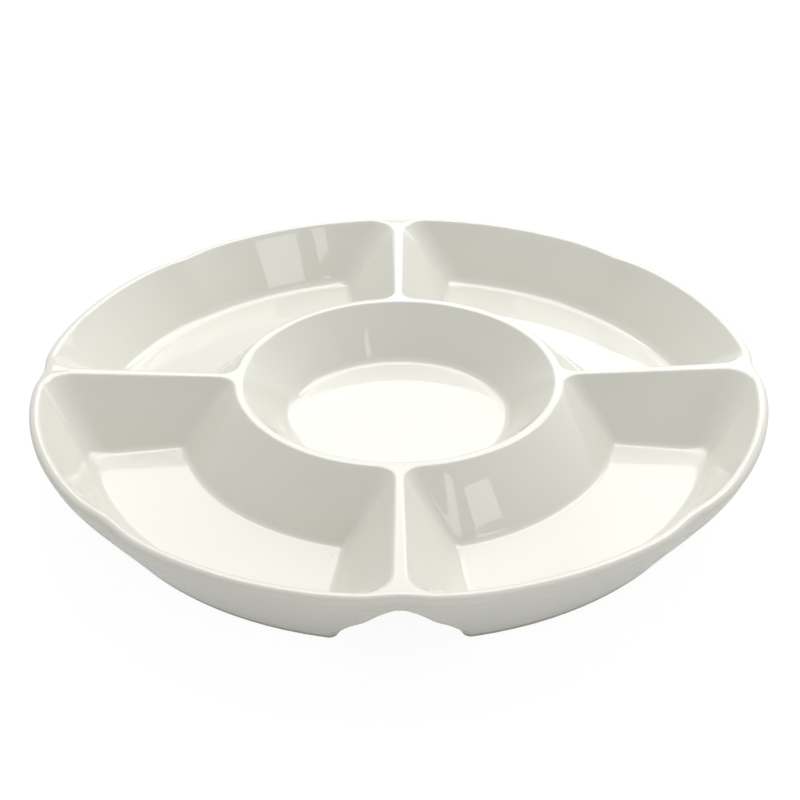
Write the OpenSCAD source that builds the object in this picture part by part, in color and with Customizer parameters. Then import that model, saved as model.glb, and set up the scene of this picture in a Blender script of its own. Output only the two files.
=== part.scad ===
// Divided serving bowl: a round ceramic dish with a centre bowl and four wells round it.
// Millimetres. The origin is on the table under the middle of the dish, +Z is up, and the
// front of the dish faces -Y. The four dividers lie along the X and Y axes.

/* [Rim] */
// Outer diameter over the rim's bead, between two notches
rim_d = 301.4; // [270:1:330]
// Height of the rim's crest above the table
dish_h = 36; // [33:0.5:42]
// Thickness of the rim's bead, seen from above
bead_w = 5; // [3.6:0.1:6]
// Height of the rim's bead, from its crest to its lower edge
bead_h = 4; // [3:0.1:6]
// How far the bead stands out over the wall under it
bead_lip = 0.7; // [0.3:0.1:2]

/* [Notches in the rim] */
// How far the rim draws in at the end of each divider
end_notch = 3; // [1:0.5:5]
// How far the rim draws in at the middle of each well
mid_notch = 2; // [0:0.5:4]
// Distance along the rim in which a notch fades out
notch_reach = 8; // [6:0.5:11]

/* [Dividers] */
// Width of a divider's top, from well to well
divider_w = 4.4; // [3:0.1:8]
// Height from a crest down to the edge of the well beside it
edge_drop = 1; // [0.5:0.1:2]
// Thickness of a divider from its crest down to the channel under it
crown_t = 7.2; // [6:0.1:10]

/* [Centre bowl] */
// Diameter of the crest of the ring round the centre bowl
ring_d = 133.2; // [110:1:150]
// Width of the ring's top, from bowl to well
ring_w = 4; // [3:0.1:8]
// How far the ring's crest lies under the rim's crest
ring_drop = 3.5; // [0:0.5:6]
// Slant of the bowl's wall, from its edge in to its floor
bowl_run = 19.6; // [14:0.5:28]

/* [Wells] */
// Height of the floors of the bowl and the wells above the table
floor_z = 11.5; // [9:0.5:14]
// Thickness of the floors
floor_t = 4.5; // [3:0.5:6]
// Slant of a well's outer wall, from its edge to the floor
outer_run = 20.5; // [16:0.5:26]
// Slant of the wall at each divider
divider_run = 22; // [18:0.5:28]
// Slant of the wall at the ring
ring_run = 25.4; // [18:0.5:30]
// Corner radius of a well's edge at the rim
rim_corner = 11; // [8:0.5:14]
// Corner radius of a well's edge at the ring
ring_corner = 7; // [5:0.5:10]
// Corner radius of a well's floor at the outer wall
floor_rim_corner = 12; // [8:0.5:15]
// Corner radius of a well's floor at the ring
floor_ring_corner = 5; // [3:0.5:8]

/* [Underside] */
// Distance from a divider's middle to the ridge under the well beside it
ridge_side = 20.5; // [18:0.5:24]
// How far the outer wall's foot lies outside the floor's outer edge
skirt_out = 5.6; // [3:0.1:9]
// How far the ridge lies nearer the centre than the floor's inner edge
skirt_in = 3; // [1:0.1:6]
// Width of the ridge that carries the foot
ridge_w = 5.4; // [4.8:0.1:7]
// Draft of the recess inside the ridge
recess_draft = 1.4; // [0.5:0.1:3]
// Corner radius of the ridge at the outer wall
ridge_rim_corner = 4.5; // [2.5:0.5:8]
// Corner radius of the ridge at the ring
ridge_ring_corner = 7; // [4:0.5:10]
// Corner radius where a channel opens through the wall, just under the bead
arch_corner = 5; // [3:0.5:8]

/* [Foot] */
// Height of the bare foot under each well
foot_h = 2; // [1:0.1:3]
// Width of the foot
foot_w = 3; // [2:0.1:3.5]
// How far the foot is set in from the ridge's edge
foot_step = 1.2; // [0.5:0.1:1.2]

/* [Hidden] */
// Steps along half an arc, round a corner and along a side of a well
arc_steps = 8;
corner_steps = 4;
side_steps = 3;
// Draws the outer arc's points together towards the notch in its middle
arc_crowd = 1.5;

rim_r = rim_d / 2;
ring_r = ring_d / 2;
edge_r = rim_r - bead_w;
notch_r = rim_r - end_notch;
ring_edge_r = ring_r + ring_w / 2;
bowl_edge_r = ring_r - ring_w / 2;
under_z = floor_z - floor_t;
// Corners that run inside the ridge's rounded corners keep at least this radius
least_corner = foot_w / 4;

// Where the crest of the bead lies across its width, and how low its outermost line is
crest_share = 0.4;
shoulder_share = 0.12;
shoulder_drop_share = 0.18;
brow_share = 0.55;
// A well's wall from its edge to its floor: the slant covered and the depth reached
wall_run_shares = [1, 0.87, 0.72, 0.06, 0];
wall_depth_shares = [1, 0.955, 0.82, 0.1, 0];
// The underside from the crown of a channel to the ridge: at the sides, and the depth reached
side_shares = [1, 0.93, 0.72, 0.51, 0.32, 0.15];
side_depth_shares = [1, 0.9, 0.58, 0.31, 0.11, 0.02];
// The same at the ring
ring_shares = [1, 0.93, 0.68, 0.43, 0.22, 0.1];
// The outer wall from the bead's lower edge to the ridge: inwards, and the depth reached
out_shares = [1, 0.885, 0.49, 0.23, 0.075, 0];
out_depth_shares = [1, 0.9, 0.56, 0.32, 0.13, 0];
// The bowl's underside from its floor to the crown of the ring's channel: outwards and upwards
bowl_under_shares = [0, 0.14, 0.3, 0.66, 0.88, 1];
bowl_rise_shares = [0, 0.04, 0.27, 0.83, 0.98, 1];

function mix(a, b, t) = a + (b - a) * t;
function clamp(t) = min(1, max(0, t));
function radius(p) = norm([p[0], p[1]]);
function swapped(p) = [p[1], p[0], p[2]];
function quarter_turn(p, q) = q == 0 ? p : quarter_turn([-p[1], p[0], p[2]], q - 1);

// How much of a notch is left at an angle away from its middle
function fade(angle) = exp(-pow(rim_r * angle * PI / 180 / notch_reach, 2));
function mid_dip(angle) = mid_notch * fade(angle - 45);
function end_dip(angle) = end_notch * fade(angle);

// Crests slope from the rim down to the ring
function crest_z(r) = dish_h - ring_drop * clamp((edge_r - r) / (edge_r - ring_edge_r));

// One half of a loop round a well, from the middle of its inner arc, along the divider and
// to the middle of its outer arc. A point is [x, y, zone], and its zone runs from 0 on the
// inner arc over 1 on the straight side to 2 on the outer arc.
function half_loop(side, r_in, r_out, c_in, c_out, dip_share = 0) =
    let (
        in_y = side + c_in,
        in_x = sqrt(pow(r_in + c_in, 2) - pow(in_y, 2)),
        in_angle = atan2(in_y, in_x),
        out_y = side + c_out,
        out_x = sqrt(pow(r_out - c_out, 2) - pow(out_y, 2)),
        out_angle = atan2(out_y, out_x)
    )
    concat(
        [for (i = [0:arc_steps])
            let (a = mix(45, in_angle, i / arc_steps))
            [r_in * cos(a), r_in * sin(a), 0]],
        [for (i = [1:corner_steps - 1])
            let (t = i / corner_steps, a = mix(in_angle + 180, 270, t))
            [in_x + c_in * cos(a), in_y + c_in * sin(a), t]],
        [for (i = [0:side_steps])
            [mix(in_x, out_x, i / side_steps), side, 1]],
        [for (i = [1:corner_steps - 1])
            let (t = i / corner_steps, a = mix(-90, out_angle, t))
            [out_x + c_out * cos(a), out_y + c_out * sin(a), 1 + t]],
        [for (i = [0:arc_steps])
            let (
                a = 45 - (45 - out_angle) * pow(1 - i / arc_steps, arc_crowd),
                r = r_out - dip_share * mid_dip(a)
            )
            [r * cos(a), r * sin(a), 2]]
    );

// The angles at which loops leave the ring's crest and the rim's edge for the dividers
ring_turn = asin((divider_w / 2 + ring_corner) / (ring_edge_r + ring_corner));
rim_turn = asin((divider_w / 2 + rim_corner) / (edge_r - rim_corner));

// The same half for the line on which a quarter of the dish meets its neighbours: round the
// ring, along the middle of the divider and along the rim's outermost line. Its corners are
// sharp, and their points spread over the two reaches.
function half_border(r_in, in_reach, out_reach) =
    concat(
        [for (i = [0:arc_steps])
            let (a = mix(45, ring_turn, i / arc_steps))
            [r_in * cos(a), r_in * sin(a), 0]],
        [for (i = [1:corner_steps - 1])
            let (t = 2 * i / corner_steps - 1, a = -ring_turn * t)
            t < 0 ? [r_in * cos(a), r_in * sin(a), 0] : [r_in + in_reach * t, 0, t]],
        [for (i = [0:side_steps])
            [mix(r_in + in_reach, notch_r - out_reach, i / side_steps), 0, 1]],
        [for (i = [1:corner_steps - 1])
            let (t = 2 * i / corner_steps - 1, a = rim_turn * t)
            t <= 0 ? [notch_r + out_reach * t, 0, 2 + t] : rim_point(a)],
        [for (i = [0:arc_steps])
            rim_point(45 - (45 - rim_turn) * pow(1 - i / arc_steps, arc_crowd))]
    );

function rim_point(a) =
    let (r = rim_r - end_dip(a) - mid_dip(a))
    [r * cos(a), r * sin(a), 2];

half_steps = 2 * arc_steps + side_steps + 2 * corner_steps;
loop_steps = 2 * half_steps;

// A whole loop: the half, and its mirror image in the well's middle
function whole(half) =
    concat(half, [for (i = [half_steps - 1:-1:1]) swapped(half[i])]);

// Loops of the upper surface, from a well's floor to its border
function wall_loop(run_share, depth_share) =
    let (flat = half_loop(
        divider_w / 2 + divider_run * run_share,
        ring_edge_r + ring_run * run_share,
        edge_r - outer_run * run_share,
        mix(ring_corner, floor_ring_corner, run_share),
        mix(rim_corner, floor_rim_corner, run_share),
        1 - run_share
    ))
    [for (p = flat) [p[0], p[1], mix(crest_z(radius(p)) - edge_drop, floor_z, depth_share)]];

function crest_loop(top_share, bead_share, drop_share, bead_drop_share) =
    let (flat = half_loop(
        divider_w / 2 * top_share,
        ring_r + ring_w / 2 * top_share,
        rim_r - bead_w * bead_share,
        ring_corner + ring_w / 2 * (1 - top_share),
        rim_corner + bead_w * (1 - bead_share) / 2,
        1
    ))
    [for (p = flat)
        let (drop = mix(edge_drop * drop_share, bead_h * bead_drop_share, clamp(p[2] - 1)))
        [p[0], p[1], crest_z(radius(p)) - drop]];

function upper_border() =
    [for (p = half_border(ring_r, ring_corner, rim_corner))
        [p[0], p[1], crest_z(radius(p)) - bead_h * brow_share * clamp(p[2] - 1)]];

upper_loops = concat(
    [for (i = [0:len(wall_run_shares) - 1])
        whole(wall_loop(wall_run_shares[i], wall_depth_shares[i]))],
    [
        whole(crest_loop(crest_share, crest_share, shoulder_drop_share, 0)),
        whole(crest_loop(shoulder_share, shoulder_share, 0, shoulder_drop_share)),
        whole(upper_border())
    ]
);

// Loops of the underside, from the recess inside the ridge to the border
ridge_in_r = ring_edge_r + ring_run - skirt_in;
ridge_out_r = edge_r - outer_run + skirt_out;
wall_top_r = rim_r - bead_lip;
wall_top_z = dish_h - bead_h;

function ridge_half(inset) =
    half_loop(
        ridge_side + inset,
        ridge_in_r + inset,
        ridge_out_r - inset,
        max(ridge_ring_corner - inset, least_corner),
        max(ridge_rim_corner - inset, least_corner)
    );

function at_z(half, z) = [for (p = half) [p[0], p[1], z]];

function skirt_loop(i) =
    let (
        flat = half_loop(
            ridge_side * side_shares[i],
            mix(ring_r, ridge_in_r, ring_shares[i]),
            mix(wall_top_r, ridge_out_r, out_shares[i]),
            mix(arch_corner, ridge_ring_corner, side_shares[i]),
            mix(arch_corner, ridge_rim_corner, side_shares[i]),
            1 - out_shares[i]
        ),
        z_out = mix(wall_top_z, foot_h, out_depth_shares[i])
    )
    [for (p = flat)
        let (z_side = mix(crest_z(radius(p)) - crown_t, foot_h, side_depth_shares[i]))
        [p[0], p[1], mix(z_side, z_out, clamp(p[2] - 1))]];

function lower_border() =
    [for (p = half_border(ring_r, arch_corner, bead_lip))
        let (z_rim = dish_h - bead_h * brow_share)
        [p[0], p[1], mix(crest_z(radius(p)) - crown_t, z_rim, clamp(p[2] - 1))]];

lower_loops = concat(
    [
        whole(at_z(ridge_half(ridge_w + recess_draft), under_z)),
        whole(at_z(ridge_half(ridge_w), foot_h))
    ],
    [for (i = [0:len(side_shares) - 1]) whole(skirt_loop(i))],
    [whole(lower_border())]
);

// Circles of the centre bowl, with their points where the borders have theirs
bowl_half_angles = concat(
    [for (i = [0:corner_steps / 2 - 1]) ring_turn * 2 * i / corner_steps],
    [for (i = [0:arc_steps]) mix(ring_turn, 45, i / arc_steps)]
);

function bowl_circle(r, z) =
    let (
        half = [for (a = bowl_half_angles) [r * cos(a), r * sin(a), z]],
        last = len(half) - 1,
        quarter = concat(half, [for (i = [last - 1:-1:1]) swapped(half[i])])
    )
    [for (q = [0:3], p = quarter) quarter_turn(p, q)];

ring_z = dish_h - ring_drop;

bowl_upper = concat(
    [for (i = [0:len(wall_run_shares) - 1])
        bowl_circle(
            bowl_edge_r - bowl_run * wall_run_shares[i],
            mix(ring_z - edge_drop, floor_z, wall_depth_shares[i])
        )],
    [
        bowl_circle(ring_r - ring_w / 2 * crest_share, ring_z - edge_drop * shoulder_drop_share),
        bowl_circle(ring_r, ring_z)
    ]
);

bowl_lower = [for (i = [0:len(bowl_under_shares) - 1])
    bowl_circle(
        mix(bowl_edge_r - bowl_run, ring_r, bowl_under_shares[i]),
        mix(under_z, ring_z - crown_t, bowl_rise_shares[i])
    )];

// Triangles between two neighbouring loops of a sheet, clockwise when seen from its good side
function band(first, steps, is_upper) =
    [for (i = [0:steps - 1])
        let (
            a = first + i,
            b = first + (i + 1) % steps,
            c = b + steps,
            d = a + steps
        )
        each is_upper ? [[a, b, c], [a, c, d]] : [[a, c, b], [a, d, c]]];

function bands(first, loops, steps, is_upper) =
    [for (i = [0:len(loops) - 2]) each band(first + i * steps, steps, is_upper)];

// A flat cap on a well's innermost loop: strips between its arcs and a piece at each end
function cap(first, is_upper) =
    let (
        strips = [for (i = [0:arc_steps - 1])
            [i, i + 1, half_steps - 1 - i, half_steps - i]],
        end = [for (i = [arc_steps:half_steps - arc_steps]) i],
        half = concat(strips, [end]),
        mirrored = [for (face = half) [for (i = face) (loop_steps - i) % loop_steps]]
    )
    [for (face = is_upper ? mirrored : half) [for (i = face) first + i],
        for (face = is_upper ? half : mirrored) [for (i = [len(face) - 1:-1:0]) first + face[i]]];

function flattened(lists) = [for (l = lists) each l];

module dish() {
    color("ivory") {
        quarter_points = concat(flattened(upper_loops), flattened(lower_loops));
        quarter_size = len(quarter_points);
        lower_first = len(upper_loops) * loop_steps;
        bowl_first = 4 * quarter_size;
        bowl_steps = len(bowl_upper[0]);
        bowl_lower_first = bowl_first + len(bowl_upper) * bowl_steps;
        polyhedron(
            points = concat(
                [for (q = [0:3], p = quarter_points) quarter_turn(p, q)],
                flattened(bowl_upper),
                flattened(bowl_lower)
            ),
            faces = concat(
                [for (q = [0:3]) each concat(
                    bands(q * quarter_size, upper_loops, loop_steps, true),
                    cap(q * quarter_size, true),
                    bands(q * quarter_size + lower_first, lower_loops, loop_steps, false),
                    cap(q * quarter_size + lower_first, false)
                )],
                bands(bowl_first, bowl_upper, bowl_steps, true),
                bands(bowl_lower_first, bowl_lower, bowl_steps, false),
                [
                    [for (i = [bowl_steps - 1:-1:0]) bowl_first + i],
                    [for (i = [0:bowl_steps - 1]) bowl_lower_first + i]
                ]
            )
        );
    }
}

// The bare foot under one well, which stands on the table
module foot(quarter) {
    outer = whole(ridge_half(foot_step));
    inner = whole(ridge_half(foot_step + foot_w));
    color("wheat")
        rotate([0, 0, 90 * quarter])
            linear_extrude(foot_h)
                difference() {
                    polygon([for (p = outer) [p[0], p[1]]]);
                    polygon([for (p = inner) [p[0], p[1]]]);
                }
}

module foot_back_right() { foot(0); }
module foot_back_left() { foot(1); }
module foot_front_left() { foot(2); }
module foot_front_right() { foot(3); }

dish();
foot_front_left();
foot_front_right();
foot_back_left();
foot_back_right();
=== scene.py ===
import math

import bmesh
import bpy
import numpy as np
from mathutils import Matrix, Vector


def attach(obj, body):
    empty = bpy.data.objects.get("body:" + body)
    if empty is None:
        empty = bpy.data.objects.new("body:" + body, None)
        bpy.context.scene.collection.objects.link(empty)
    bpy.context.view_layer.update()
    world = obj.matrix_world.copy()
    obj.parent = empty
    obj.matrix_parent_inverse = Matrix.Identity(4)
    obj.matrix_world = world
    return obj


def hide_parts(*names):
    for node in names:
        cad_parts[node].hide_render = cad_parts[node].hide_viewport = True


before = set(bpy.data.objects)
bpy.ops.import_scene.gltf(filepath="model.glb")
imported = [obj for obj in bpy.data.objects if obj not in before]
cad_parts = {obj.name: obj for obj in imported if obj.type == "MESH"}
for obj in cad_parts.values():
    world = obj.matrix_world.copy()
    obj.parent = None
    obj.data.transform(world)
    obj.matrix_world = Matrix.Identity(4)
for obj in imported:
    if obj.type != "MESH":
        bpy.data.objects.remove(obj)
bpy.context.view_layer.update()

# A round glazed dish with a centre bowl and four wells, as one smooth mesh on four bare feet.
# Sizes are in millimetres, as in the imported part, and become metres when a mesh is made.
# Angles are in degrees: a quarter has its dividers at 0 and 90 and its well's middle at 45.
MM = 0.001
WELL_MIDDLE = 45

# Cosine and sine of each quarter's turn
QUARTER_TURNS = [(1, 0), (0, 1), (-1, 0), (0, -1)]
QUARTERS = len(QUARTER_TURNS)

# Rim, ring and dividers
RIM_R = 150.7
DISH_H = 36.0
BEAD_R = 2.35
CREST_R = RIM_R - BEAD_R
RING_R = 66.6
RING_DROP = 3.5
RING_TOP = DISH_H - RING_DROP
HALF_CREST = 2.2
TOP_FLAT = 0.85
RIM_FLAT = 0.7
TOP_EDGE_R = 1.9

# The dividers' crests slope down from the outer to the inner of these radii
SLOPE_OUT_R = 145.7
SLOPE_IN_R = 68.6

# How deep the rim draws in, and how far along it, at a divider's end and in a well's middle
END_NOTCH = 2.45
END_REACH = 10.5
MID_NOTCH = 1.9
MID_REACH = 11.5
NOTCH_R = RIM_R - END_NOTCH

# Floors of the wells and the centre bowl, the insets of the loops on them, and the radii of the circles
# that fill the bowl's floor and underside
FLOOR_Z = 10.6
FLOOR_SIDE = 22.9
FLOOR_IN_R = 92.9
FLOOR_OUT_R = 125.0
BOWL_FLOOR_Z = 11.3
BOWL_FLOOR_R = 43.3
FLOOR_INSETS = (0.3, 1.4)
FILL_RADII = (36, 24, 12, 4)

# A well's sides turn outwards by a share of the radius beyond its floor's inner edge, and the turn
# fades out over an angle up to the well's middle
SIDE_SPREAD = 0.165
SPREAD_FADE = 30

# Fillets at the foot of the walls
BASE_FILLET = 4.5
RIM_FILLET = 8.0
BOWL_FILLET = 7.0

# A well's corner radii at its edge, what the top of its walls adds to them, and those at its floor
EDGE_RIM_CORNER = 9.5
EDGE_RING_CORNER = 7.0
ADDED_RIM_CORNER = 2
ADDED_RING_CORNER = 1.5
FLOOR_RIM_CORNER = 6.0
FLOOR_RING_CORNER = 2.5

# Underside, its arched channels under the dividers and the ridge under each well
UNDER_Z = 7.0
CROWN_T = 7.9
FOOT_Z = 2.0
RIDGE_SIDE = 20.5
RIDGE_IN_R = 91.0
RIDGE_OUT_R = 130.8
RIDGE_RIM_CORNER = 4.5
RIDGE_RING_CORNER = 7.0
ARCH_CORNER = 5.0
LEAST_CORNER = 0.8
END_ROUND = 1.6

# Steps round a loop: half an arc, a corner and a side
ARC_STEPS = 14
CORNER_STEPS = 8
SIDE_STEPS = 6
ARC_CROWD = 1.5
HALF_STEPS = 2 * ARC_STEPS + 2 * CORNER_STEPS + SIDE_STEPS
LOOP_STEPS = 2 * HALF_STEPS

# Steps down a wall: the crest's flat top, its rounded edge, the straight slope and the fillet
FLAT_SHARES = (0.0, 0.6, 1.0)
EDGE_STEPS = 4
SLOPE_STEPS = 5
BASE_STEPS = 8

# The groove under the bead, as inset from the rim's widest line and depth below its crest
GROOVE = [(1.1, 5.4), (0.9, 4.6), (0.5, 3.8), (0.1, 3.0)]
GROOVE_IN, GROOVE_DOWN = GROOVE[0]

# The angles of the bead's outer quarter circle, from its widest line up to the crest
BEAD_ANGLES = (90, 67, 45, 23, 0)

# The skirt from the groove down to the ridge: half-width of the channel and share of its depth,
# then the outer wall's radius and its depth below the rim's crest
SKIRT = [
    (1, 0.002, 149.46, 5.8),
    (2.2, 0.01, 149.3, 6.2),
    (3.4, 0.03, 149.05, 6.8),
    (4.8, 0.06, 148.65, 7.6),
    (6.6, 0.115, 147.95, 8.9),
    (8.4, 0.19, 146.8, 10.9),
    (10.5, 0.3, 145.0, 14.0),
    (12.6, 0.43, 140.9, 20.0),
    (14.8, 0.57, 136.6, 26.0),
    (17.0, 0.72, 133.3, 30.0),
    (18.9, 0.86, 131.5, 32.5),
    (20.1, 0.95, 131.0, 33.4),
    (20.5, 1, 130.6, 34.0),
]

# Under the ring: share of the depth and share of the way out from the ring to the ridge
RING_DEPTHS = [0, 0.02, 0.11, 0.31, 0.58, 0.9, 1]
RING_SHARES = [0, 0.1, 0.22, 0.43, 0.68, 0.93, 1]

# Across the ridge to the recess inside it: inset and height
RIDGE_LINES = [
    (0.5, FOOT_Z),
    (2.7, FOOT_Z),
    (4.9, FOOT_Z),
    (5.4, FOOT_Z + 0.5),
    (6.4, UNDER_Z - 0.8),
    (7.2, UNDER_Z),
]

# Round a foot, whose top lies a little inside the ridge: inset and height
FOOT_TOP = FOOT_Z + 0.2
FOOT_LINES = [
    (1.2, FOOT_TOP),
    (1.2, 1.1),
    (1.25, 0.45),
    (1.5, 0.1),
    (1.9, 0),
    (2.7, 0),
    (3.5, 0),
    (3.9, 0.1),
    (4.15, 0.45),
    (4.2, 1.1),
    (4.2, FOOT_TOP),
]

# Under the bowl's wall: share of the way out to the ring and of the way up to its crown
BOWL_UNDERSIDE = [
    (1, 1),
    (0.95, 0.997),
    (0.88, 0.98),
    (0.78, 0.92),
    (0.66, 0.83),
    (0.54, 0.66),
    (0.42, 0.47),
    (0.3, 0.27),
    (0.2, 0.12),
    (0.1, 0.03),
    (0, 0),
]

# In metres: points closer than the first are merged, and edges shorter than the second dissolved
MERGE_DISTANCE = 2e-6
SHORTEST_EDGE = 1e-6


def mix(a, b, t):
    return a + (b - a) * t


def crest_z(r):
    """Height of the crests, which slope from the rim down to the ring."""
    share = np.clip((SLOPE_OUT_R - r) / (SLOPE_OUT_R - SLOPE_IN_R), 0, 1)
    return DISH_H - RING_DROP * share


def fade(angle, reach):
    """Falls from 1 at angle 0 to nothing, over a reach measured along the rim."""
    return math.exp(-(RIM_R * math.radians(angle) / reach) ** 2)


def rim_dip(angle):
    """How far the rim draws in, at an angle from a divider to the well's middle."""
    return END_NOTCH * fade(angle, END_REACH) + MID_NOTCH * fade(angle - WELL_MIDDLE, MID_REACH)


def on_circle(r, angle):
    a = math.radians(angle)
    return r * math.cos(a), r * math.sin(a)


def arc_angle(start, i):
    """Angle of step i along an outer arc, from start to the well's middle, where steps shrink."""
    return WELL_MIDDLE - (WELL_MIDDLE - start) * (1 - i / ARC_STEPS) ** ARC_CROWD


def half_loop(side, r_in, r_out, c_in, c_out, dip_share=0.0):
    """Half a rounded loop round a well, from its middle at the ring to its middle at the rim.

    A row is x, y and a zone that runs from 0 at the ring over 1 at the divider to 2 at the rim.
    """
    in_y = side + c_in
    in_x = math.sqrt((r_in + c_in) ** 2 - in_y ** 2)
    in_angle = math.degrees(math.atan2(in_y, in_x))
    out_y = side + c_out
    corner_r = r_out - dip_share * rim_dip(math.degrees(math.asin(out_y / (r_out - c_out))))
    out_x = math.sqrt((corner_r - c_out) ** 2 - out_y ** 2)
    out_angle = math.degrees(math.atan2(out_y, out_x))
    rows = []
    for i in range(ARC_STEPS + 1):
        x, y = on_circle(r_in, mix(WELL_MIDDLE, in_angle, i / ARC_STEPS))
        rows.append((x, y, 0))
    for i in range(1, CORNER_STEPS):
        t = i / CORNER_STEPS
        x, y = on_circle(c_in, mix(in_angle + 180, 270, t))
        rows.append((in_x + x, in_y + y, t))
    for i in range(SIDE_STEPS + 1):
        rows.append((mix(in_x, out_x, i / SIDE_STEPS), side, 1))
    for i in range(1, CORNER_STEPS):
        t = i / CORNER_STEPS
        x, y = on_circle(c_out, mix(-90, out_angle, t))
        rows.append((out_x + x, out_y + y, 1 + t))
    for i in range(ARC_STEPS + 1):
        angle = arc_angle(out_angle, i)
        x, y = on_circle(r_out - dip_share * rim_dip(angle), angle)
        rows.append((x, y, 2))
    return np.array(rows)


def radius(rows):
    return np.hypot(rows[:, 0], rows[:, 1])


def spread(rows, share):
    """Turns a well's sides outwards with the radius: its walls keep their slope, and the crest rises."""
    r = radius(rows)
    angle = np.arctan2(rows[:, 1], rows[:, 0])
    near_side = np.clip((math.radians(WELL_MIDDLE) - angle) / math.radians(SPREAD_FADE), 0, 1)
    turned_by = share * SIDE_SPREAD * (r - FLOOR_IN_R) / r * near_side
    x = r * np.cos(angle + turned_by)
    y = r * np.sin(angle + turned_by)
    return np.column_stack([x, y, rows[:, 2]])


def corner_angle(corner, corner_r):
    """The angle of a corner's centre, which lies at a radius and beside the divider's crest."""
    return math.degrees(math.asin((HALF_CREST + corner) / corner_r))


# Where the border round a quarter leaves the arcs of the ring and the rim for its corners
RING_TURN = corner_angle(EDGE_RING_CORNER, SLOPE_IN_R + EDGE_RING_CORNER)
RIM_TURN = corner_angle(EDGE_RIM_CORNER, SLOPE_OUT_R - EDGE_RIM_CORNER)


def rim_point(angle, inset):
    x, y = on_circle(RIM_R - inset - rim_dip(angle), angle)
    return x, y, 2


def half_border(in_reach, out_reach, inset):
    """Half the border round a quarter, with the same rows as half a loop.

    It follows the ring's crest, the divider's mid-plane and a line inset from the rim's widest one.
    Its corners reach along the divider by in_reach from the ring and by out_reach from the rim.
    """
    end_r = NOTCH_R - inset
    rows = []
    for i in range(ARC_STEPS + 1):
        x, y = on_circle(RING_R, mix(WELL_MIDDLE, RING_TURN, i / ARC_STEPS))
        rows.append((x, y, 0))
    for i in range(1, CORNER_STEPS):
        t = 2 * i / CORNER_STEPS - 1
        if t < 0:
            x, y = on_circle(RING_R, -RING_TURN * t)
            rows.append((x, y, 0))
        else:
            rows.append((RING_R + in_reach * t, 0, t))
    for i in range(SIDE_STEPS + 1):
        rows.append((mix(RING_R + in_reach, end_r - out_reach, i / SIDE_STEPS), 0, 1))
    for i in range(1, CORNER_STEPS):
        t = 2 * i / CORNER_STEPS - 1
        if t < 0:
            rows.append((end_r + out_reach * t, 0, 2 + t))
        else:
            rows.append(rim_point(RIM_TURN * t, inset))
    for i in range(ARC_STEPS + 1):
        rows.append(rim_point(arc_angle(RIM_TURN, i), inset))
    return np.array(rows)


def edge_border(inset):
    """The half border that the upper surface and the bead share."""
    return half_border(EDGE_RING_CORNER, EDGE_RIM_CORNER, inset)


def whole(rows, z):
    """A closed loop of points: half a loop, then its mirror image in the well's middle."""
    mirrored = rows[HALF_STEPS - 1:0:-1][:, [1, 0, 2]]
    both = np.vstack([rows, mirrored])
    heights = np.concatenate([z, z[HALF_STEPS - 1:0:-1]])
    return np.column_stack([both[:, 0], both[:, 1], heights])


def level(rows, z):
    """A closed loop of points, all at one height."""
    return whole(rows, np.full(len(rows), z))


def wall_profile(run, drop, flat, top_r, base_r):
    """Offset and depth from a crest to the floor.

    The crest's flat top is followed by a rounded edge, a straight slope and a fillet at the foot.
    """
    both = top_r + base_r
    lean = math.atan2(drop - both, run - flat)
    slope = lean + math.asin(both / math.hypot(run - flat, drop - both))
    rows = [(flat * share, 0.0) for share in FLAT_SHARES]
    for i in range(1, EDGE_STEPS + 1):
        a = slope * i / EDGE_STEPS
        rows.append((flat + top_r * math.sin(a), top_r * (1 - math.cos(a))))
    x0, z0 = rows[-1]
    x1 = run - base_r * math.sin(slope)
    z1 = drop - base_r * (1 - math.cos(slope))
    for i in range(1, SLOPE_STEPS + 1):
        rows.append((mix(x0, x1, i / SLOPE_STEPS), mix(z0, z1, i / SLOPE_STEPS)))
    for i in range(1, BASE_STEPS + 1):
        a = slope * (1 - i / BASE_STEPS)
        rows.append((run - base_r * math.sin(a), drop - base_r * (1 - math.cos(a))))
    return np.array(rows)


# A divider's side is drawn with one drop, and its heights are then scaled to the crest above them
SIDE_DROP = 22.5
RING_WALL_DROP = RING_TOP - FLOOR_Z
side_profile = wall_profile(FLOOR_SIDE, SIDE_DROP, TOP_FLAT, TOP_EDGE_R, BASE_FILLET)
ring_profile = wall_profile(FLOOR_IN_R - RING_R, RING_WALL_DROP, TOP_FLAT, TOP_EDGE_R, BASE_FILLET)
rim_profile = wall_profile(CREST_R - FLOOR_OUT_R, DISH_H - FLOOR_Z, RIM_FLAT, TOP_EDGE_R, RIM_FILLET)
bowl_profile = wall_profile(
    RING_R - BOWL_FLOOR_R, RING_TOP - BOWL_FLOOR_Z, TOP_FLAT, TOP_EDGE_R, BOWL_FILLET)
PROFILE_LEN = len(side_profile)
FIRST_WALL = len(FLAT_SHARES)

# The border's rows that lie on the rim
FIRST_RIM_ROW = HALF_STEPS - ARC_STEPS - CORNER_STEPS // 2
RIM_ROWS = slice(FIRST_RIM_ROW, LOOP_STEPS - FIRST_RIM_ROW + 1)


def bead_lines():
    """Inset and depth of the bead's lines, from the groove up to the crest."""
    lines = list(GROOVE)
    for angle in BEAD_ANGLES:
        a = math.radians(angle)
        lines.append((BEAD_R * (1 - math.sin(a)), BEAD_R * (1 - math.cos(a))))
    return lines


def bead_line(inset, below):
    """The border's rows on the rim, on one line of the bead."""
    return level(edge_border(inset), DISH_H - below)[RIM_ROWS]


def crest_loop():
    """The middle of the crests round a well."""
    rows = edge_border(BEAD_R)
    return whole(rows, crest_z(radius(rows)))


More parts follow.
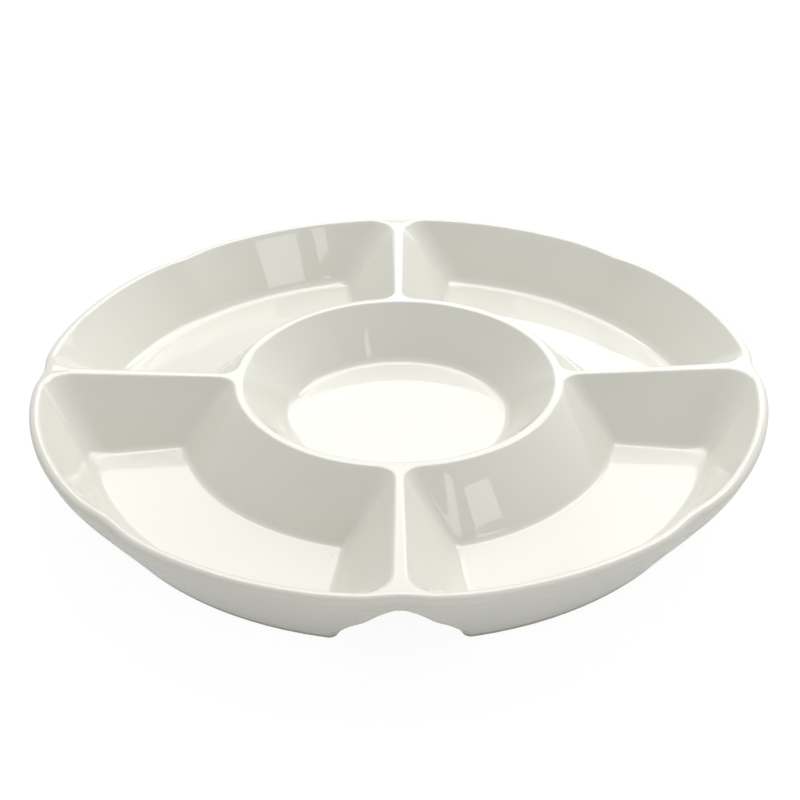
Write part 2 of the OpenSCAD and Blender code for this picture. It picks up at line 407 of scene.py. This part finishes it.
def upper_loop(k):
    """Loop k of a well's upper surface, down its walls to the floor's edge."""
    side, side_z = side_profile[k]
    ring_off, ring_z = ring_profile[k]
    rim_off, rim_z = rim_profile[k]
    down = max(0.0, (k - FIRST_WALL + 1) / (PROFILE_LEN - FIRST_WALL))
    run_share = side / FLOOR_SIDE
    rows = half_loop(
        side,
        RING_R + ring_off,
        CREST_R - rim_off,
        mix(EDGE_RING_CORNER + ADDED_RING_CORNER * (1 - down), FLOOR_RING_CORNER, run_share),
        mix(EDGE_RIM_CORNER + ADDED_RIM_CORNER, FLOOR_RIM_CORNER, run_share),
        1 - run_share,
    )
    zone = rows[:, 2]
    top = crest_z(radius(rows))
    z_side = mix(top, FLOOR_Z, side_z / SIDE_DROP)
    z_ring = mix(top, FLOOR_Z, ring_z / RING_WALL_DROP)
    near_ring = mix(z_ring, z_side, np.clip(zone, 0, 1))
    near_rim = mix(z_side, DISH_H - rim_z, np.clip(zone - 1, 0, 1))
    return whole(spread(rows, run_share), np.where(zone <= 1, near_ring, near_rim))


def floor_loop(inset):
    """A loop on the flat floor, just inside its edge, which keeps the edge crisp."""
    rows = half_loop(
        FLOOR_SIDE + inset,
        FLOOR_IN_R + inset,
        FLOOR_OUT_R - inset,
        max(FLOOR_RING_CORNER - inset, LEAST_CORNER),
        FLOOR_RIM_CORNER - inset,
    )
    return level(spread(rows, 1), FLOOR_Z)


def end_rise(zone):
    """Share of the way up from a channel's crown or flank to the outer wall, as a quarter circle."""
    return 1 - np.sqrt(1 - np.clip(zone - 1, 0, 1) ** 2)


def crown_z(rows):
    """Height of the channels' crowns, which lie under the crests at an even depth."""
    return crest_z(radius(rows)) - CROWN_T


def lower_border():
    """The lower surface's border, along the channels' crowns and the groove."""
    rows = half_border(ARCH_CORNER, END_ROUND, GROOVE_IN)
    return whole(rows, mix(crown_z(rows), DISH_H - GROOVE_DOWN, end_rise(rows[:, 2])))


def skirt_loop(width, depth, r_out, below):
    """A loop down the channels' walls and the outer wall."""
    ring_share = float(np.interp(depth, RING_DEPTHS, RING_SHARES))
    side_share = width / RIDGE_SIDE
    rows = half_loop(
        width,
        mix(RING_R, RIDGE_IN_R, ring_share),
        r_out,
        mix(ARCH_CORNER, RIDGE_RING_CORNER, side_share),
        mix(ARCH_CORNER, RIDGE_RIM_CORNER, side_share),
        (DISH_H - below) / (DISH_H - GROOVE_DOWN),
    )
    flank = mix(crown_z(rows), FOOT_Z, depth)
    return whole(rows, mix(flank, DISH_H - below, end_rise(rows[:, 2])))


def ridge_loop(inset, z):
    """A level loop round the ridge under a well, also used for its foot."""
    rows = half_loop(
        RIDGE_SIDE + inset,
        RIDGE_IN_R + inset,
        RIDGE_OUT_R - inset,
        max(RIDGE_RING_CORNER - inset, LEAST_CORNER),
        max(RIDGE_RIM_CORNER - inset, LEAST_CORNER),
    )
    return level(rows, z)


def turned(points, quarter):
    """The points of the first quarter, turned to another one."""
    c, s = QUARTER_TURNS[quarter]
    x = points[:, 0]
    y = points[:, 1]
    return np.column_stack([c * x - s * y, s * x + c * y, points[:, 2]])


class Sheet:
    """Collects the points and faces of one mesh."""

    def __init__(self):
        self.points = []
        self.faces = []
        self.count = 0

    def add(self, points):
        first = self.count
        self.points.append(points)
        self.count += len(points)
        return first

    def bands(self, loops):
        """Faces between closed loops of points. Gives the last loop's first index."""
        firsts = [self.add(loop) for loop in loops]
        n = len(loops[0])
        for a, b in zip(firsts, firsts[1:]):
            for i in range(n):
                k = (i + 1) % n
                self.faces.append((a + i, a + k, b + k, b + i))
        return firsts[-1]

    def strip(self, rows):
        """Faces between open rows of points."""
        firsts = [self.add(row) for row in rows]
        for a, b in zip(firsts, firsts[1:]):
            for i in range(len(rows[0]) - 1):
                self.faces.append((a + i, a + i + 1, b + i + 1, b + i))

    def cap(self, first):
        """A flat cap on a well's loop: strips between its arcs and a piece at each end."""
        half = [(i, i + 1, HALF_STEPS - 1 - i, HALF_STEPS - i) for i in range(ARC_STEPS)]
        half.append(tuple(range(ARC_STEPS, HALF_STEPS - ARC_STEPS + 1)))
        for face in half:
            self.faces.append(tuple(first + i for i in face))
            self.faces.append(tuple(first + (LOOP_STEPS - i) % LOOP_STEPS for i in reversed(face)))

    def discs(self, loops):
        """Bands between circles, closed by one face inside the last."""
        last = self.bands(loops)
        self.faces.append(tuple(range(last, last + len(loops[-1]))))

    def build(self, name):
        """The welded object, with its normals outwards and smooth shading."""
        mesh = bpy.data.meshes.new(name)
        mesh.from_pydata((np.vstack(self.points) * MM).tolist(), [], self.faces)
        bm = bmesh.new()
        bm.from_mesh(mesh)
        bmesh.ops.remove_doubles(bm, verts=bm.verts, dist=MERGE_DISTANCE)
        bmesh.ops.dissolve_degenerate(bm, edges=bm.edges, dist=SHORTEST_EDGE)
        bmesh.ops.recalc_face_normals(bm, faces=bm.faces)
        open_edges = sum(1 for e in bm.edges if not e.is_manifold)
        bm.to_mesh(mesh)
        bm.free()
        print(name, "faces", len(mesh.polygons), "open or shared edges", open_edges)
        for polygon in mesh.polygons:
            polygon.use_smooth = True
        obj = bpy.data.objects.new(name, mesh)
        bpy.context.scene.collection.objects.link(obj)
        return obj


def subdivide(obj):
    """Puts one level of subdivision into the object's mesh."""
    coarse = obj.data
    modifier = obj.modifiers.new("smooth", "SUBSURF")
    modifier.levels = 1
    modifier.render_levels = 1
    bpy.context.view_layer.update()
    evaluated = obj.evaluated_get(bpy.context.evaluated_depsgraph_get())
    fine = bpy.data.meshes.new_from_object(evaluated)
    obj.modifiers.clear()
    obj.data = fine
    bpy.data.meshes.remove(coarse)


def ring_angles():
    """The angles at which the borders put points on the ring's crest, all the way round."""
    rows = edge_border(BEAD_R)
    on_ring = rows[rows[:, 2] == 0]
    half = sorted({round(math.degrees(math.atan2(y, x)), 9) for x, y, _ in on_ring} | {0.0})
    quarter = half + [90 - a for a in reversed(half) if 0 < a < WELL_MIDDLE]
    return np.array([q * 90 + a for q in range(QUARTERS) for a in quarter])


RING_ANGLES = ring_angles()


def circle(r, z):
    """A level circle of points, in line with those on the ring's crest."""
    a = np.radians(RING_ANGLES)
    return np.column_stack([r * np.cos(a), r * np.sin(a), np.full(len(a), z)])


def make_dish():
    """The glazed body: four equal quarters and the centre bowl's two sides."""
    sheet = Sheet()
    upper = [crest_loop()]
    upper += [upper_loop(k) for k in range(1, PROFILE_LEN)]
    upper += [floor_loop(inset) for inset in FLOOR_INSETS]
    bead = [bead_line(inset, below) for inset, below in bead_lines()]
    lower = [lower_border()]
    lower += [skirt_loop(*line) for line in SKIRT]
    lower += [ridge_loop(inset, z) for inset, z in RIDGE_LINES]
    for quarter in range(QUARTERS):
        sheet.strip([turned(row, quarter) for row in bead])
        sheet.cap(sheet.bands([turned(loop, quarter) for loop in upper]))
        sheet.cap(sheet.bands([turned(loop, quarter) for loop in lower]))
    inside = [circle(RING_R - off, RING_TOP - z) for off, z in bowl_profile]
    inside += [circle(BOWL_FLOOR_R - inset, BOWL_FLOOR_Z) for inset in FLOOR_INSETS]
    inside += [circle(r, BOWL_FLOOR_Z) for r in FILL_RADII]
    sheet.discs(inside)
    crown = RING_TOP - CROWN_T
    outside = [
        circle(mix(BOWL_FLOOR_R, RING_R, out), mix(UNDER_Z, crown, up))
        for out, up in BOWL_UNDERSIDE
    ]
    outside += [circle(r, UNDER_Z) for r in FILL_RADII]
    sheet.discs(outside)
    body = sheet.build("dish_glazed")
    subdivide(body)
    return body


def make_foot(name, quarter):
    """A bare closed foot loop with small worn edges."""
    sheet = Sheet()
    loops = [turned(ridge_loop(inset, z), quarter) for inset, z in FOOT_LINES]
    sheet.bands(loops + [loops[0]])
    return sheet.build(name)


FOOT_QUARTERS = {
    "foot_front_left": 2,
    "foot_front_right": 3,
    "foot_back_left": 1,
    "foot_back_right": 0,
}
dish = make_dish()
feet = {node: make_foot(node + "_bare", quarter) for node, quarter in FOOT_QUARTERS.items()}


# Materials
class Shading:
    """The node tree of a material or world, emptied, with short ways to add and link nodes."""

    def __init__(self, owner):
        owner.use_nodes = True
        self.nodes = owner.node_tree.nodes
        self.links = owner.node_tree.links
        self.nodes.clear()

    def node(self, kind, values=None):
        """A new node of a kind, with its sockets' values by name."""
        made = self.nodes.new(kind)
        for name, value in (values or {}).items():
            made.inputs[name].default_value = value
        return made

    def link(self, source, target):
        self.links.new(source, target)

    def coords(self):
        """The object's own coordinates."""
        return self.node("ShaderNodeTexCoord").outputs["Object"]

    def noise(self, coords, scale, detail, roughness):
        values = {"Scale": scale, "Detail": detail, "Roughness": roughness}
        made = self.node("ShaderNodeTexNoise", values)
        self.link(coords, made.inputs["Vector"])
        return made.outputs["Fac"]

    def ramp(self, source, stops):
        """Colours by value, from stops of a position and a colour."""
        made = self.node("ShaderNodeValToRGB")
        elements = made.color_ramp.elements
        for element, (position, color) in zip(elements, (stops[0], stops[-1])):
            element.position = position
            element.color = color
        for position, color in stops[1:-1]:
            elements.new(position).color = color
        self.link(source, made.inputs["Fac"])
        return made.outputs["Color"]

    def bump(self, height, strength, distance):
        made = self.node("ShaderNodeBump", {"Strength": strength, "Distance": distance})
        self.link(height, made.inputs["Height"])
        return made.outputs["Normal"]

    def either(self, first, second):
        """1 where either of two answers about a ray is 1."""
        made = self.node("ShaderNodeMath")
        made.operation = "MAXIMUM"
        self.link(first, made.inputs[0])
        self.link(second, made.inputs[1])
        return made.outputs[0]

    def choose(self, share, otherwise, chosen):
        """The chosen shader where the share is 1, and the other one where it is 0."""
        made = self.node("ShaderNodeMixShader")
        self.link(share, made.inputs[0])
        self.link(otherwise, made.inputs[1])
        self.link(chosen, made.inputs[2])
        return made.outputs[0]

    def output(self, kind, shader):
        self.link(shader, self.node(kind).inputs["Surface"])

    def surface(self, values, color, normal):
        """Ends a material in one Principled shader with this colour and normal."""
        shader = self.node("ShaderNodeBsdfPrincipled", values)
        self.link(color, shader.inputs["Base Color"])
        self.link(normal, shader.inputs["Normal"])
        self.output("ShaderNodeOutputMaterial", shader.outputs["BSDF"])


def glaze_material():
    """Ivory glaze: clear and glossy, a little uneven in tone, with the faint waves of firing."""
    material = bpy.data.materials.new("ivory_glaze")
    tree = Shading(material)
    coords = tree.coords()
    tone = tree.noise(coords, scale=14, detail=3, roughness=0.55)
    color = tree.ramp(tone, [
        (0.3, (0.797, 0.79, 0.712, 1)),
        (0.5, (0.812, 0.806, 0.732, 1)),
        (0.72, (0.827, 0.822, 0.752, 1)),
    ])
    waves = tree.noise(coords, scale=55, detail=2, roughness=0.5)
    normal = tree.bump(waves, strength=0.12, distance=0.00012)
    tree.surface({"IOR": 1.5, "Roughness": 0.03}, color, normal)
    return material


def bare_painted_shade_material():
    """Fired clay without glaze: matt, warm and finely grained, and painted darker than the glaze as
    shade under the dish.
    """
    material = bpy.data.materials.new("bare_clay_painted_shade")
    tree = Shading(material)
    grain = tree.noise(tree.coords(), scale=900, detail=4, roughness=0.6)
    # The clay's darker tone is painted shade for the underside where the feet stand; its grain is the
    # clay's own
    color = tree.ramp(grain, [
        (0.35, (0.5, 0.47, 0.4, 1)),
        (0.6, (0.62, 0.59, 0.51, 1)),
    ])
    normal = tree.bump(grain, strength=0.5, distance=0.0002)
    tree.surface({"Roughness": 0.75}, color, normal)
    return material


dish.data.materials.append(glaze_material())
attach(dish, "root")
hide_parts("dish")
# The feet get clay painted darker than the glaze: painted shade under the dish
clay = bare_painted_shade_material()
for node, foot in feet.items():
    foot.data.materials.append(clay)
    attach(foot, "root")
    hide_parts(node)

# Floor: white to the camera, a little darker in reflections, and it keeps the dish's shadow. Each of
# these looks is a matt grey with a glow of its own, and other rays meet a plain matt grey.
SEEN_DIFFUSE = 0.14
SEEN_GLOW = 0.93
MIRRORED_DIFFUSE = 0.5
MIRRORED_GLOW = 0.35
BOUNCE_DIFFUSE = 0.8

# Its size and height, in metres, just under the feet
STAGE_SIZE = 6
STAGE_Z = -0.0002


def matt(tree, value):
    """A matt grey of one value."""
    return tree.node("ShaderNodeBsdfDiffuse", {"Color": (value, value, value, 1)}).outputs[0]


def glowing(tree, value, glow):
    """A matt grey that also gives its own light."""
    light = tree.node("ShaderNodeEmission", {"Strength": glow})
    both = tree.node("ShaderNodeAddShader")
    tree.link(matt(tree, value), both.inputs[0])
    tree.link(light.outputs[0], both.inputs[1])
    return both.outputs[0]


def floor_material():
    material = bpy.data.materials.new("pale_floor")
    tree = Shading(material)
    ray = tree.node("ShaderNodeLightPath").outputs
    mirrored_ray = tree.either(ray["Is Glossy Ray"], ray["Is Transmission Ray"])
    mirrored_look = glowing(tree, MIRRORED_DIFFUSE, MIRRORED_GLOW)
    seen_look = glowing(tree, SEEN_DIFFUSE, SEEN_GLOW)
    unseen = tree.choose(mirrored_ray, matt(tree, BOUNCE_DIFFUSE), mirrored_look)
    tree.output("ShaderNodeOutputMaterial", tree.choose(ray["Is Camera Ray"], unseen, seen_look))
    return material


bpy.ops.mesh.primitive_plane_add(size=STAGE_SIZE, location=(0, 0, STAGE_Z))
floor = bpy.context.object
floor.name = "floor"
floor.data.materials.append(floor_material())

# World: white to the camera and in reflections, and a soft even light on the dish
AMBIENT = 0.385


def background(tree, strength):
    values = {"Color": (1, 1, 1, 1), "Strength": strength}
    return tree.node("ShaderNodeBackground", values).outputs[0]


def make_world():
    world = bpy.data.worlds.new("studio")
    bpy.context.scene.world = world
    tree = Shading(world)
    ray = tree.node("ShaderNodeLightPath").outputs
    seen = tree.either(ray["Is Camera Ray"], ray["Is Glossy Ray"])
    seen = tree.either(seen, ray["Is Transmission Ray"])
    looks = tree.choose(seen, background(tree, AMBIENT), background(tree, 1.0))
    tree.output("ShaderNodeOutputWorld", looks)


make_world()

# Lamps that face the dish. Azimuth 0 is the back, and it grows to the right. Each row is a name,
# azimuth, elevation, distance, width, height, radiance and roll, in degrees and metres.
SOFT_BOXES = [
    ("high_back_box", 14, 57, 1.24, 1.2, 0.5, 3.5, -17),
    ("low_back_box", 2.5, 36.5, 1.27, 1.2, 0.42, 1.95, -17),
    ("right_back_box", 34, 22, 1.27, 0.45, 0.34, 0.9, -17),
    ("side_soft_box", 62, 32, 1.1, 1.6, 1.2, 0.15, 0),
    ("front_fill", 180, 14, 1.6, 2.4, 0.7, 0.6, 0),
    ("window_pane_right", 127.7, 45.9, 0.945, 0.2, 0.08, 1.9, 19),
    ("window_pane_left", 145.0, 50.6, 0.965, 0.06, 0.11, 1.9, 24),
]

# An area lamp's watts are this many times its area at a radiance of one
WATTS_PER_RADIANCE = 4


def rolled(across, over, turn):
    """Two directions at right angles, both turned by an angle in radians, first towards second."""
    return (
        across * math.cos(turn) + over * math.sin(turn),
        over * math.cos(turn) - across * math.sin(turn),
    )


def placed(obj, place, x_axis, y_axis, z_axis):
    """Puts an object into the scene at a place, with its axes along three directions."""
    axes = Matrix((x_axis, y_axis, z_axis)).transposed().to_4x4()
    obj.matrix_world = Matrix.Translation(place) @ axes
    bpy.context.scene.collection.objects.link(obj)


def soft_box(name, azimuth, elevation, distance, width, height, radiance, roll):
    a = math.radians(azimuth)
    e = math.radians(elevation)
    away = Vector((math.sin(a) * math.cos(e), math.cos(a) * math.cos(e), math.sin(e)))
    across = Vector((math.cos(a), -math.sin(a), 0))
    over = away.cross(across) * -1
    side, top = rolled(across, over, math.radians(roll))
    lamp = bpy.data.lights.new(name, "AREA")
    lamp.shape = "RECTANGLE"
    lamp.size = width
    lamp.size_y = height
    lamp.energy = radiance * WATTS_PER_RADIANCE * width * height
    placed(bpy.data.objects.new(name, lamp), away * distance, -side, top, away)


for box in SOFT_BOXES:
    soft_box(*box)

# Camera, as fitted to the photograph's rim and ring
ELEVATION = math.radians(31.852)
ROLL = math.radians(-0.429)
AIM = Vector((0.53, -26.11, DISH_H)) * MM
DISTANCE = 560 * MM
FOCAL_PX = 1399.0
IMAGE_PX = 800.0

camera = bpy.data.cameras.new("camera")
camera.sensor_width = 36
camera.lens = FOCAL_PX / IMAGE_PX * camera.sensor_width
camera.clip_start = 0.01
camera.clip_end = 50
camera_object = bpy.data.objects.new("camera", camera)
ahead = Vector((0, math.cos(ELEVATION), -math.sin(ELEVATION)))
up = Vector((0, math.sin(ELEVATION), math.cos(ELEVATION)))
rolled_right, rolled_up = rolled(Vector((1, 0, 0)), up, ROLL)
placed(camera_object, AIM - ahead * DISTANCE, rolled_right, rolled_up, -ahead)
bpy.context.scene.camera = camera_object

bpy.context.scene.view_settings.view_transform = "Standard"
